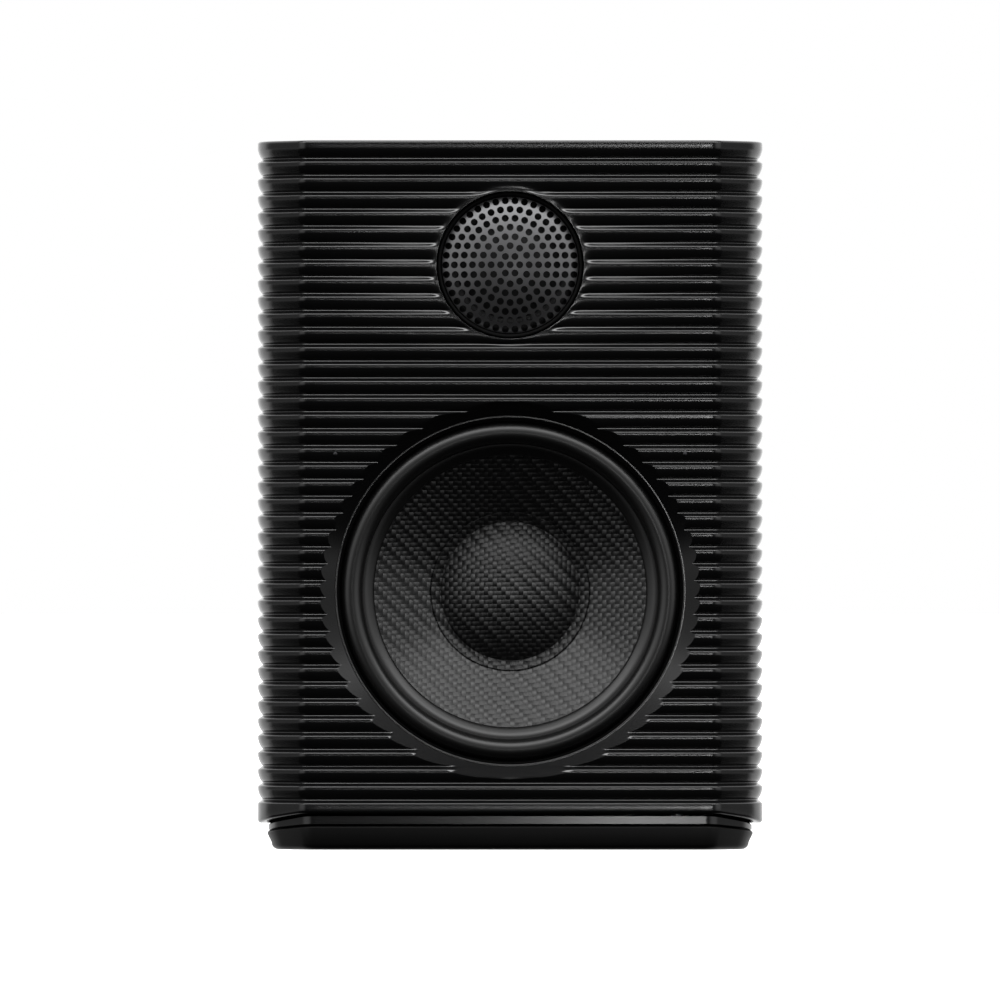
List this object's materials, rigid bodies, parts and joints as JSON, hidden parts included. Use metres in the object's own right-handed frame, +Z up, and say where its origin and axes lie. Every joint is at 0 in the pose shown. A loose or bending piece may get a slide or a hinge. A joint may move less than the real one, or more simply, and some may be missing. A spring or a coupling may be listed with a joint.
{
  "type": "bookshelf speaker",
  "caption": "Compact active bookshelf speaker: ribbed cast cabinet with rounded upright corners, domed tweeter grille, carbon woofer, rubber foot pad, rear panel with port, knobs and jacks.",
  "frame": {"origin": "centre of the overall box's bottom face, on the surface the pad stands on", "axes": "+Z up, -Y towards the listener (the drivers face -Y), +X to the listener's right"},
  "size_m": [0.12, 0.132, 0.1681],
  "materials": {
    "cabinet": "satin black powder coat over cast aluminium",
    "base_plate": "satin black powder coat over cast aluminium",
    "base_pad": "matte black rubber",
    "base_screw_1": "plain steel",
    "base_screw_2": "plain steel",
    "base_screw_3": "plain steel",
    "base_screw_4": "plain steel",
    "rear_panel": "satin black",
    "panel_screw_1": "black steel",
    "panel_screw_2": "black steel",
    "panel_screw_3": "black steel",
    "panel_screw_4": "black steel",
    "woofer_gasket": "closed-cell foam, sealed inner piece",
    "woofer_surround": "satin black rubber",
    "woofer_cone": "clear-coated twill carbon fibre",
    "woofer_dust_cap": "clear-coated twill carbon fibre",
    "woofer_spider": "corrugated treated cloth",
    "woofer_basket": "black painted steel",
    "voice_coil_former": "polyimide film",
    "woofer_voice_coil": "varnished copper wire",
    "woofer_top_plate": "zinc-plated steel",
    "woofer_magnet": "sintered ferrite",
    "woofer_yoke": "zinc-plated steel",
    "woofer_screw_1": "plain steel",
    "woofer_screw_2": "plain steel",
    "woofer_screw_3": "plain steel",
    "woofer_screw_4": "plain steel",
    "tweeter_housing": "moulded black plastic",
    "tweeter_grille": "satin dark grey perforated steel",
    "tweeter_dome": "coated silk",
    "tweeter_coil": "varnished copper wire",
    "tweeter_pole_plate": "plain steel",
    "tweeter_magnet": "nickel-plated neodymium",
    "tweeter_cup": "zinc-plated steel",
    "tweeter_screw_1": "plain steel",
    "tweeter_screw_2": "plain steel",
    "bass_port": "moulded black plastic",
    "volume_knob": "moulded black plastic",
    "volume_shaft": "plain steel",
    "volume_pot": "black steel case",
    "treble_knob": "moulded black plastic",
    "treble_shaft": "plain steel",
    "treble_pot": "black steel case",
    "bass_knob": "moulded black plastic",
    "bass_shaft": "plain steel",
    "bass_pot": "black steel case",
    "line_white_shell": "nickel plate",
    "line_white_insert": "white plastic",
    "line_red_shell": "nickel plate",
    "line_red_insert": "red plastic",
    "aux_jack": "black plastic",
    "link_jack": "black plastic",
    "dc_jack": "black plastic",
    "power_switch": "moulded black plastic",
    "power_rocker": "moulded black plastic",
    "amplifier_board": "glass-epoxy board with green mask",
    "capacitor_1": "sleeved aluminium can",
    "capacitor_2": "sleeved aluminium can",
    "output_choke": "varnished copper wire on a core"
  },
  "bodies": {
    "cabinet_assembly": {"cabinet": "cabinet", "base_plate": "base_plate", "base_pad": "base_pad", "base_screw_1": "base_screw_1", "base_screw_2": "base_screw_2", "base_screw_3": "base_screw_3", "base_screw_4": "base_screw_4", "rear_panel": "rear_panel", "panel_screw_1": "panel_screw_1", "panel_screw_2": "panel_screw_2", "panel_screw_3": "panel_screw_3", "panel_screw_4": "panel_screw_4", "woofer_gasket": "woofer_gasket", "woofer_surround": "woofer_surround", "woofer_spider": "woofer_spider", "woofer_basket": "woofer_basket", "woofer_top_plate": "woofer_top_plate", "woofer_magnet": "woofer_magnet", "woofer_yoke": "woofer_yoke", "woofer_screw_1": "woofer_screw_1", "woofer_screw_2": "woofer_screw_2", "woofer_screw_3": "woofer_screw_3", "woofer_screw_4": "woofer_screw_4", "tweeter_housing": "tweeter_housing", "tweeter_grille": "tweeter_grille", "tweeter_pole_plate": "tweeter_pole_plate", "tweeter_magnet": "tweeter_magnet", "tweeter_cup": "tweeter_cup", "tweeter_screw_1": "tweeter_screw_1", "tweeter_screw_2": "tweeter_screw_2", "bass_port": "bass_port", "volume_pot": "volume_pot", "treble_pot": "treble_pot", "bass_pot": "bass_pot", "line_white_shell": "line_white_shell", "line_white_insert": "line_white_insert", "line_red_shell": "line_red_shell", "line_red_insert": "line_red_insert", "aux_jack": "aux_jack", "link_jack": "link_jack", "dc_jack": "dc_jack", "power_switch": "power_switch", "amplifier_board": "amplifier_board", "capacitor_1": "capacitor_1", "capacitor_2": "capacitor_2", "output_choke": "output_choke"},
    "woofer_diaphragm": {"woofer_cone": "woofer_cone", "woofer_dust_cap": "woofer_dust_cap", "voice_coil_former": "voice_coil_former", "woofer_voice_coil": "woofer_voice_coil"},
    "tweeter_diaphragm": {"tweeter_dome": "tweeter_dome", "tweeter_coil": "tweeter_coil"},
    "volume_control": {"volume_knob": "volume_knob", "volume_shaft": "volume_shaft"},
    "treble_control": {"treble_knob": "treble_knob", "treble_shaft": "treble_shaft"},
    "bass_control": {"bass_knob": "bass_knob", "bass_shaft": "bass_shaft"},
    "power_rocker_body": {"power_rocker": "power_rocker"}
  },
  "joints": [
    {"name": "woofer_travel", "type": "slide", "parent": "cabinet_assembly", "child": "woofer_diaphragm", "axis": [0, -1, 0], "range_m": [-0.004, 0.004], "stiffness_N_per_m": 1000, "deforming": ["woofer_surround", "woofer_spider"]},
    {"name": "tweeter_travel", "type": "slide", "parent": "cabinet_assembly", "child": "tweeter_diaphragm", "axis": [0, -1, 0], "range_m": [-0.00025, 0.00025], "stiffness_N_per_m": 5000},
    {"name": "volume_turn", "type": "hinge", "parent": "cabinet_assembly", "child": "volume_control", "pos_m": [0, 0.056, 0.092], "axis": [0, 1, 0], "range_deg": [-150, 150]},
    {"name": "treble_turn", "type": "hinge", "parent": "cabinet_assembly", "child": "treble_control", "pos_m": [0.027, 0.056, 0.092], "axis": [0, 1, 0], "range_deg": [-150, 150]},
    {"name": "bass_turn", "type": "hinge", "parent": "cabinet_assembly", "child": "bass_control", "pos_m": [-0.027, 0.056, 0.092], "axis": [0, 1, 0], "range_deg": [-150, 150]},
    {"name": "power_tip", "type": "hinge", "parent": "cabinet_assembly", "child": "power_rocker_body", "pos_m": [-0.029, 0.054, 0.064], "axis": [1, 0, 0], "range_deg": [0, 16]}
  ]
}
